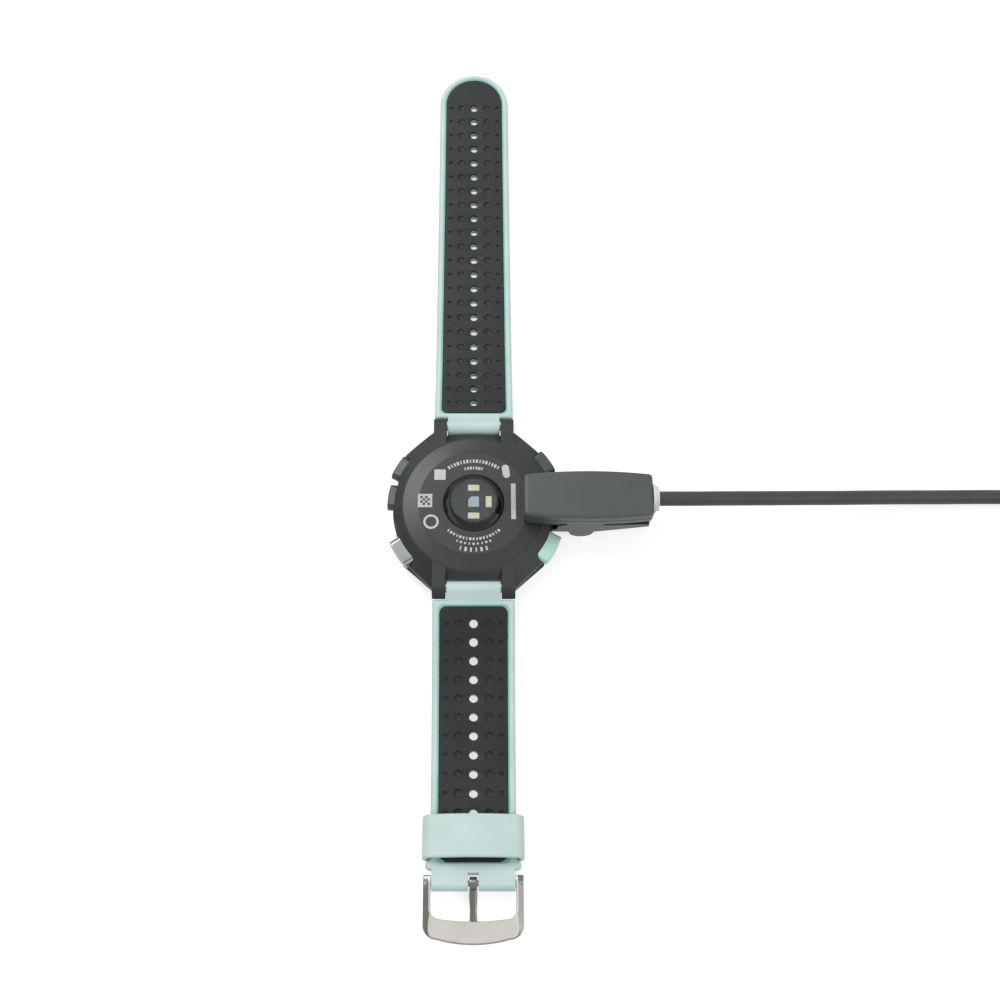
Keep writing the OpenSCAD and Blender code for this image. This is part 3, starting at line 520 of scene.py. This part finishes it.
def outer_moulding(plan, crossings, rows):
    """The strap's mint moulding, flat: x across, y along and z above its face."""
    bm = bmesh.new()
    side = [(1.1, -2.5), (0.5, -2.42), (0.15, -2.15), (0, -1.75), (0, -0.9), (0.1, -0.45), (0.35, -0.15),
            (0.7, -0.02), (0.95, 0), (1.3, 0), (1.42, -0.05)]
    lip = [(1.42, -0.05), (1.85, -0.3), (1.95, -0.42), (1.98, -POCKET)]
    outside = skin(bm, [plan_ring(plan, *step) for step in side], caps=False)
    # The lip's faces take the second material, the deeper mint of painted groove shade.
    inside = skin(bm, [plan_ring(plan, *step) for step in lip], caps=False, index=1)
    tops, bottoms = [], []
    for s in rows:
        top, bottom = hole_wall(bm, 0, s, [(HOLE_R, -POCKET), (HOLE_R, -2.3), (1.3, -STRAP_T)], 24)
        tops.append(((0, s), HOLE_R, top))
        bottoms.append(((0, s), 1.3, bottom))
    lid(bm, inside[-1], crossings, tops)
    lid(bm, outside[0], crossings, bottoms)
    bmesh.ops.remove_doubles(bm, verts=bm.verts, dist=1e-4)
    return bm


def liner_inlay(plan, crossings, rows):
    """The strap's charcoal liner, flat."""
    bm = bmesh.new()
    side = [(2.05, -POCKET + 0.05), (2.05, -0.3), (2.1, -0.17), (2.25, -0.1)]
    loops = skin(bm, [plan_ring(plan, *step) for step in side], caps=False)
    tops, bottoms = [], []
    for s in rows:
        top, bottom = hole_wall(bm, 0, s, [(1.35, -0.1), (1.2, -0.18), (HOLE_R, -0.35),
                                           (HOLE_R, -POCKET + 0.05)], 24)
        tops.append(((0, s), 1.35, top))
        bottoms.append(((0, s), HOLE_R, bottom))
        for way in (-1, 1):
            dimple = hole_wall(bm, way * DIMPLE_X, s, DIMPLE, 16, True)
            dot = hole_wall(bm, way * DOT_X, s, DOT, 12, True)
            tops += [((way * DIMPLE_X, s), DIMPLE[0][0], dimple[0]), ((way * DOT_X, s), DOT[0][0], dot[0])]
    lid(bm, loops[-1], crossings, tops)
    lid(bm, loops[0], crossings, bottoms)
    return bm


def slice_up(bm, start, end):
    """A closed copy of the part of a flat strap between two distances; None leaves that end whole."""
    part = bm.copy()
    for s, way in ((start, -1), (end, 1)):
        if s is None:
            continue
        geometry = part.verts[:] + part.edges[:] + part.faces[:]
        bmesh.ops.bisect_plane(part, geom=geometry, plane_co=(0, s, 0), plane_no=(0, way, 0),
                               clear_outer=True)
        rim = [e for e in part.edges if e.is_boundary]
        bmesh.ops.contextual_create(part, geom=rim)
    bmesh.ops.triangulate(part, faces=[f for f in part.faces if len(f.verts) > 4])
    return part


def round_bar(bm, outline, x0, x1, edge=0.3):
    """A closed bar along X whose section is an outline of (along, above), with softened ends."""
    middle = sum((Vector(p) for p in outline), Vector((0, 0))) / len(outline)
    reach = max((Vector(p) - middle).length for p in outline)
    rings = []
    for x, draw in ((x0, edge), (x0 + edge * 0.3, edge * 0.3), (x0 + edge, 0), (x1 - edge, 0),
                    (x1 - edge * 0.3, edge * 0.3), (x1, edge)):
        rings.append([(x, *(middle + (Vector(p) - middle) * (1 - draw / reach))) for p in outline])
    skin(bm, rings)


def lay_strap(name, path, reach, bm, cuts, links, material, nodes, more=(), soft=SOFT_BEND):
    """Cuts a flat strap into pieces that each span one hinge, and lays them along the path."""
    ends = [None, *cuts, None]
    for k, (a, b) in enumerate(zip(links, links[1:])):
        part = slice_up(bm, ends[k], ends[k + 1])
        for v in part.verts:
            v.co = path(*v.co)
        piece = make(f"{name}_{k + 1}", part, material, stands_for=nodes[k], more=more)
        bend = reach[k + 1]
        path(0, bend - soft, 0) * MM
        path(0, bend + soft, 0) * MM
        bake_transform(piece)
    bm.free()


# The lug end: a tongue between the ears, rolled round the spring bar.
tongue = [(3.7, -2.45), (3.7, -0.02), (3.0, 0.06), (2.3, 0.25), (1.6, 0.5)]
tongue += arc(0, -LIFT, 2.3, 68, 270, 18) + [(1.4, -3.45), (2.6, -2.95)]

long_path, long_reach = strap_path(
    ["long_strap_lug", "long_strap_bend_1", "long_strap_bend_2", "long_strap_bend_3"],
    [-12, -0.6, 0.4, 4.5], 1)
long_rows = [8.2 + PITCH * k for k in range(22)]
TIP_R = half_width(124.4)
tip_at = long_rows[-1] + 12.3 - TIP_R
tip_turns = [(k + 0.5) * 90 / 14 for k in range(14)]
far_outer, far_inner = ([(r * math.cos(math.radians(t)), tip_at + r * math.sin(math.radians(t)))
                         for t in tip_turns] for r in (TIP_R, TIP_R - RIM))
plan, crossings = strap_plan(long_rows, far_outer, far_inner)
moulding = outer_moulding(plan, crossings, long_rows)
round_bar(moulding, tongue, -7.3, 7.3)
long_links = ["long_link_1", "long_link_2", "long_link_3", "long_link_4"]
long_cuts = [long_reach[1] + 3 * PITCH, long_reach[2] + 3 * PITCH]
lay_strap("long_strap_outer", long_path, long_reach, moulding, long_cuts, long_links, mint,
          [["long_strap_1", "long_strap_2"], ["long_strap_3"], ["long_strap_4"]], (mint_groove_shade,))
lay_strap("long_strap_liner", long_path, long_reach, liner_inlay(plan, crossings, long_rows), long_cuts,
          long_links, charcoal,
          [["long_liner_1", "long_liner_2"], ["long_liner_3"], ["long_liner_4"]])

# The short strap ends in two shoulders and a roll round the buckle's bar, slotted for the prong.
short_path, short_reach = strap_path(
    ["short_strap_lug", "short_strap_bend_1", "short_strap_bend_2"], [-12, -0.6, 4.5], -1)
short_rows = [9.2 + PITCH * k for k in range(12)]
BAR_S = short_reach[2] + 29.6
BAR_H = -1.45
w = half_width(68)
shoulder_s = BAR_S - 4.2
far_outer = [(w, shoulder_s - 3.4), (w + 0.05, shoulder_s - 2.2), (w + 0.3, shoulder_s - 1.3),
             (12.0, shoulder_s - 0.6), (12.1, shoulder_s), (11.9, shoulder_s + 0.6), (11.3, shoulder_s + 1.0),
             (10.6, shoulder_s + 1.1)]
far_inner = arc(w - RIM - 2.6, BAR_S - 5.1 - 2.6, 2.6, 0, 90, 7)
plan, crossings = strap_plan(short_rows, far_outer, far_inner)
moulding = outer_moulding(plan, crossings, short_rows)
round_bar(moulding, tongue, -7.3, 7.3)
roll = [(shoulder_s - 0.4, -STRAP_T), (shoulder_s - 0.4, -0.02), (BAR_S - 2.4, 0.02), (BAR_S - 1.2, 0.12)]
roll += arc(BAR_S, BAR_H, 1.9, 75, -110, 16)
for x0, x1 in ((-10.45, -1.35), (1.35, 10.45)):
    round_bar(moulding, roll, x0, x1)
web = [(shoulder_s - 0.4, -STRAP_T), (shoulder_s - 0.4, -0.02), (BAR_S - 2.5, 0), (BAR_S - 2.2, -0.3),
       (BAR_S - 2.2, -STRAP_T + 0.3), (BAR_S - 2.5, -STRAP_T)]
round_bar(moulding, web, -1.7, 1.7, 0.1)
short_links = ["short_link_1", "short_link_2", "short_link_3"]
short_cuts = [short_reach[1] + 2 * PITCH]
KEEPER_CLEAR = 3.9    # given to lay_strap as the short strap's soft
lay_strap("short_strap_outer", short_path, short_reach, moulding, short_cuts, short_links, mint,
          [["short_strap_1", "short_strap_2"], ["short_strap_3"]], (mint_groove_shade,), KEEPER_CLEAR)
lay_strap("short_strap_liner", short_path, short_reach, liner_inlay(plan, crossings, short_rows), short_cuts,
          short_links, charcoal, [["short_liner_1", "short_liner_2"], ["short_liner_3"]],
          soft=KEEPER_CLEAR)

# ---- keeper ----
# One moulded silicone loop with an arched roof and full round rims; it slides along the short strap.

KEEPER_T = 1.35
KEEPER_L = 10.8
KEEPER_PAST = 13.2    # from the short strap's last bend to the keeper's near edge
keeper_from = short_reach[2] + KEEPER_PAST


def loop_section(half, bottom, top, r, sag=60.0):
    """Points round a rounded, arched section: a corner's arc each, and ten stations along roof and floor."""
    line = []
    for cx, cz, a in ((half - r, bottom + r, -90), (half - r, top - r, 0), (-half + r, top - r, 90),
                      (-half + r, bottom + r, 180)):
        if line:
            x0, z0 = line[-1]
            first = arc(cx, cz, r, a, a, 1)[0]
            line += [(x0 + (first[0] - x0) * k / 10, z0 + (first[1] - z0) * k / 10) for k in range(1, 10)]
        line += arc(cx, cz, r, a, a + 90, 8)
    x0, z0 = line[-1]
    line += [(x0 + (line[0][0] - x0) * k / 10, z0) for k in range(1, 10)]
    return [(x, z - x * x / (2 * sag) * (z - bottom) / (top - bottom)) for x, z in line]


bm = bmesh.new()
outside = loop_section(12.85, -3.7, 3.45, 2.4)
inside = loop_section(12.85 - KEEPER_T, -2.6, 2.3, 1.2)
rings = []
for end, way in ((keeper_from, 1), (keeper_from + KEEPER_L, -1)):
    turn = [(0, 0.62), (0.02, 0.4), (0.12, 0.17), (0.3, 0.03), (0.5, 0), (0.7, 0.03), (0.88, 0.17),
            (0.98, 0.4), (1, 0.62)]
    for mix, along in (turn if way > 0 else reversed(turn)):
        rings.append([short_path(xo + (xi - xo) * mix, end + way * along, zo + (zi - zo) * mix)
                      for (xo, zo), (xi, zi) in zip(outside, inside)])
skin(bm, rings, closed=True)
make("keeper", bm, mint, "keeper", ["keeper_loop"], 60)

# ---- buckle ----
# An investment-cast steel frame, bead blasted: its arms slope outwards, its outer bar is flat and bowed.
# The prong is rolled round the same bar, runs out beneath the frame and rests against its far face.

cast_steel = metal("stainless_steel_bead_blasted", "ECEAE2", "E2E0D9", 0.38, grain=0.35, depth=0.02,
                   spread=0.1)
# A darker steel for the prong, and for the frame's sloping faces, where the darker colour is painted shade.
prong_and_slope_shade_steel = metal("stainless_steel_prong_and_painted_slope_shade", "8F8E89", "82817C", 0.34, grain=0.2, depth=0.01)
bar = Vector((hinge_at["buckle_hinge"].y, hinge_at["buckle_hinge"].z))
BUCKLE_TILT = math.radians(-5.5)
REACH = 14.2


def at_bar(x, t, u):
    """A place from across, along and above the buckle, measured from its bar."""
    c, s = math.cos(BUCKLE_TILT), math.sin(BUCKLE_TILT)
    return (x, bar.x - (t * c - u * s), bar.y + t * s + u * c)


# From an arm's end round to the frame's middle: outer point, inner point, slope, height.
half_frame = []
for t in (-2.05, -1.9, -1.5, -0.9, 0, 2, 4, 6):
    half_frame.append(((12.5, t), (10.6, t), 1.0, math.sqrt(1 - min(t / 2.1, 0) ** 2)))
CORNER = 10
for k in range(CORNER + 1):
    mix = k / CORNER
    a = math.radians(90 * mix)
    outer_point = (12.5 - 3.4 + 3.4 * math.cos(a), REACH - 0.95 - 3.4 + 3.4 * math.sin(a))
    inner_point = (10.6 - 2.6 + 2.6 * math.cos(a), REACH - 5.75 - 1.9 + 1.9 * math.sin(a))
    half_frame.append((outer_point, inner_point, 1 - ease(mix * 1.5), 1.0))
for x in (7, 5, 3, 1):
    half_frame.append(((x * 1.1, REACH + 0.3 - 1.2 * (x * 1.1 / 9.1) ** 2),
                       (x, REACH - 5.2 - 0.55 * (x / 8) ** 2), 0.0, 1.0))
stations = half_frame + [((-o[0], o[1]), (-i[0], i[1]), slope, high)
                         for o, i, slope, high in reversed(half_frame)]
bm = bmesh.new()
rings = []
for o, i, slope, high in stations:
    o, i = Vector(o), Vector(i)
    wide = (i - o).length
    crease = 0.45 + (wide - 0.5 - 0.45) * slope
    line = [(0, -0.6), (0, 0.35), (0.1, 0.48), (crease, 0.93), (crease + 0.12, 0.95), (wide - 0.15, 0.95),
            (wide, 0.8), (wide, -0.8), (wide - 0.15, -0.95), (0.35, -0.95)]
    rings.append([at_bar(*(o + (i - o) * (d / wide)), u * high) for d, u in line])
# Faces on the slope take the darker steel: painted shade.
sloped = {v for loop in skin(bm, rings) for v in loop[:4]}
for face in bm.faces:
    face.material_index = int(sloped.issuperset(face.verts))
make("buckle_frame_cast", bm, cast_steel, "buckle", ["buckle_frame"], 28, [prong_and_slope_shade_steel])

bm = bmesh.new()
roll_line = [(-1.6 * math.cos(a), 1.6 * math.sin(a)) for a in (math.tau * k / 28 for k in range(28))]
rings = []
for x, draw in ((-0.95, 0.2), (-0.88, 0.06), (-0.7, 0), (0.7, 0), (0.88, 0.06), (0.95, 0.2)):
    rings.append([at_bar(x, t * (1 - draw / 1.6), u * (1 - draw / 1.6)) for t, u in roll_line])
skin(bm, rings)
rings = []
for t, half, top, bottom in ((0.2, 0.93, -0.3, -1.58), (1.2, 0.97, -0.5, -1.75), (2.2, 1.03, -0.62, -1.95),
                             (3.2, 1.03, -0.7, -2.1), (4.6, 0.96, -0.76, -2.3), (6.2, 0.84, -0.85, -2.35),
                             (7.6, 0.88, -0.95, -2.3), (9.0, 0.95, -1.02, -2.25), (12.6, 0.94, -1.02, -2.2),
                             (13.2, 0.88, -1.05, -2.1), (13.45, 0.7, -1.2, -1.9)):
    rings.append([at_bar(x * half, t, top + (bottom - top) * v) for x, v in
                  ((-1, 0.8), (-1, 0.25), (-0.85, 0.08), (-0.55, 0), (0.55, 0), (0.85, 0.08), (1, 0.25),
                   (1, 0.8), (0.75, 1), (-0.75, 1))])
skin(bm, rings)
make("prong_rolled", bm, prong_and_slope_shade_steel, "prong", ["buckle_prong"], 40)
dress("buckle_bar", steel)

# ---- charging clip ----
# Two moulded jaws on a steel pin, sprung shut. The upper one is bowed, hollow and ends in a pale collar; its
# gilt pins press on the contacts. A shallow groove runs round it under the top.

clip_grey = finish("abs_fine_matt_moulded", "4B504F", "474C4B", 0.42, grain=0.3, depth=0.01, spread=0.06)
jaw_black = finish("abs_gloss_moulded", "24272A", "2A2D31", 0.2, grain=0.5, depth=0.003)
CLIP_X0, CLIP_X1 = 13.6, 48.5
pivot = (hinge_at["clip_jaw_hinge"].x, hinge_at["clip_jaw_hinge"].z)


def clip_plan(inset, r=1.1):
    """Points round the bowed plan of the upper jaw, drawn in by an inset."""
    x0, x1, mid = CLIP_X0 + inset, CLIP_X1 - inset, (CLIP_X0 + CLIP_X1) / 2
    r = max(r - inset * 0.5, 0.3)

    def side(x):
        return 6.95 - inset - ((x - mid) / (CLIP_X1 - mid)) ** 2

    right = [(x, side(x)) for x in [x0 + r + (x1 - x0 - 2 * r) * k / 24 for k in range(25)]]
    left_turn = arc(x0 + r, side(x0 + r) - r, r, 180, 90, 5)[:-1]
    right_turn = arc(x1 - r, side(x1 - r) - r, r, 90, 0, 5)[1:]
    upper = left_turn + right + right_turn
    return upper + [(x, -y) for x, y in reversed(upper)]


def mouth(x):
    return 9.7 + 0.9 * ease((x - 23) / 1.2)


bm = bmesh.new()
rings = [[(x, y, 14.9) for x, y in clip_plan(1.0)], [(x, y, mouth(x)) for x, y in clip_plan(1.0)],
         [(x, y, mouth(x)) for x, y in clip_plan(0.2)], [(x, y, mouth(x) + 0.2) for x, y in clip_plan(0.02)]]
for z, inset in ((12.7, 0), (12.78, 0.08), (12.82, 0.4), (13.1, 0.4), (13.14, 0.05), (13.2, -0.02), (14.9, 0),
                 (15.3, 0.1), (15.55, 0.3), (15.67, 0.6), (15.7, 1.1), (15.7, 2.4)):
    rings.append([(x, y, z) for x, y in clip_plan(inset)])
skin(bm, rings)
ear = [(25.0, 11.4), (25.4, 10.2), (26.1, 6.4)] + arc(*pivot, 3.4, 170, 350, 18) + [(34.2, 8.0), (36.6, 11.4)]
for way in (-1, 1):
    rings = []
    for y, draw in ((5.35, 0), (6.5, 0), (6.62, 0.06), (6.7, 0.22)):
        rings.append([(x + (30 - x) * draw / 4, way * y, z + (6 - z) * draw / 4) for x, z in ear])
    skin(bm, rings)
make("clip_upper_moulded", bm, clip_grey, "clip", ["clip_upper_jaw"], 30)
dress("clip_lower_jaw", jaw_black, 0.35)
for node in ("clip_hinge_pin", "clip_spring"):
    dress(node, steel, 0.1)
dress("clip_contact_block", polyamide)
dress("pogo_pins", gold, 0.1)


def lathe(bm, profile, at):
    """A turned piece round the line that at() gives from (along, radius, turn)."""
    skin(bm, [[at(along, r, math.tau * k / 40) for k in range(40)] for along, r in profile], closed=True)


bm = bmesh.new()
lathe(bm, [(48.55, 1.9), (48.55, 3.95), (49.2, 4.0), (49.3, 3.9), (49.32, 3.4), (50.1, 3.35), (50.2, 3.2),
           (50.2, 1.95)], lambda x, r, a: (x, r * math.cos(a), 12.2 + r * math.sin(a)))
make("collar", bm, finish("elastomer_pale_moulded", "D5D9D8", "CBD0CF", 0.45, grain=0.3), "clip",
     ["cable_collar"])

# ---- plug ----
# An overmoulded body with a ribbed strain relief, and a folded tinplate shell.

overmould = finish("pvc_matt_overmoulded", "1E2022", "232527", 0.5, grain=0.5, depth=0.02)
low, high = (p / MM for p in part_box("plug_strain_relief"))
middle = (low + high) / 2
profile = [(high.y, 2.05), (high.y, 2.45)]
for k in range(5):
    y = high.y - 0.9 - 1.6 * k
    r = 2.5 + 0.16 * k
    profile += [(y + 0.3, r), (y + 0.2, r - 0.45), (y - 0.4, r - 0.45), (y - 0.5, r + 0.05)]
profile += [(low.y, 3.2), (low.y, 2.05)]
bm = bmesh.new()
lathe(bm, profile, lambda y, r, a: (middle.x + r * math.cos(a), y, middle.z + r * math.sin(a)))
relief = make("plug_relief_ribbed", bm, overmould, "clip", ["plug_strain_relief"])
dress("plug_body", overmould, 1.2)
dress("plug_shell", metal("tinplate_folded", "C9CACB", "BDBEC0", 0.25, grain=0.8), 0.15)

# ---- floor and light ----
# A white table and a soft white studio.

studio = bpy.data.worlds.new("studio")
bpy.context.scene.world = studio
studio.use_nodes = True
sky = studio.node_tree
path = add(sky, "ShaderNodeLightPath")
seen = add(sky, "ShaderNodeMath", {"operation": "MAXIMUM"}, {0: path.outputs["Is Camera Ray"],
                                                            1: path.outputs["Is Transmission Ray"]})
level = add(sky, "ShaderNodeMapRange", {}, {0: seen.outputs[0], 3: 0.62, 4: 1.0})
sky.links.new(level.outputs[0], sky.nodes["Background"].inputs["Strength"])
sky.nodes["Background"].inputs["Color"].default_value = (1, 1, 1, 1)

table_size = 6.0
bm = bmesh.new()
bmesh.ops.create_grid(bm, x_segments=1, y_segments=1, size=table_size)
data = bpy.data.meshes.new("table")
bm.to_mesh(data)
bm.free()
table = bpy.data.objects.new("table", data)
table.location.z = cad_box[0][2] - mm(0.02)
bpy.context.scene.collection.objects.link(table)
table_top = bpy.data.materials.new("table_top_lacquered")
table_top.use_nodes = True
tree = table_top.node_tree
path = add(tree, "ShaderNodeLightPath")
seen = add(tree, "ShaderNodeMath", {"operation": "MAXIMUM"}, {0: path.outputs["Is Camera Ray"],
                                                             1: path.outputs["Is Glossy Ray"]})
seen = add(tree, "ShaderNodeMath", {"operation": "MAXIMUM"}, {0: seen.outputs[0],
                                                             1: path.outputs["Is Transmission Ray"]})
SELF_LIT = 0.67       # the floor's own light, as a share
glow = add(tree, "ShaderNodeMath", {"operation": "MULTIPLY"}, {0: seen.outputs[0], 1: SELF_LIT})
shader = tree.nodes["Principled BSDF"]
shader.inputs["Base Color"].default_value = colour("BEBEBE")
shader.inputs["Roughness"].default_value = 0.9
shader.inputs["Specular IOR Level"].default_value = 0.1
shader.inputs["Emission Color"].default_value = (1, 1, 1, 1)
tree.links.new(glow.outputs[0], shader.inputs["Emission Strength"])
data.materials.append(table_top)


def softbox(name, place, size, power):
    """A square soft light, in metres, aimed at the watch."""
    light = bpy.data.lights.new(name, "AREA")
    light.shape = "DISK"
    light.size = size
    light.energy = power
    lamp = bpy.data.objects.new(name, light)
    lamp.location = place
    lamp.rotation_euler = (look_at - Vector(place)).to_track_quat("-Z", "Y").to_euler()
    bpy.context.scene.collection.objects.link(lamp)


softbox("key", (-0.5, 0.7, 1.1), 0.7, 9)
softbox("fill", (0.8, -0.5, 0.9), 0.9, 4)
bpy.context.scene.view_settings.view_transform = "Standard"
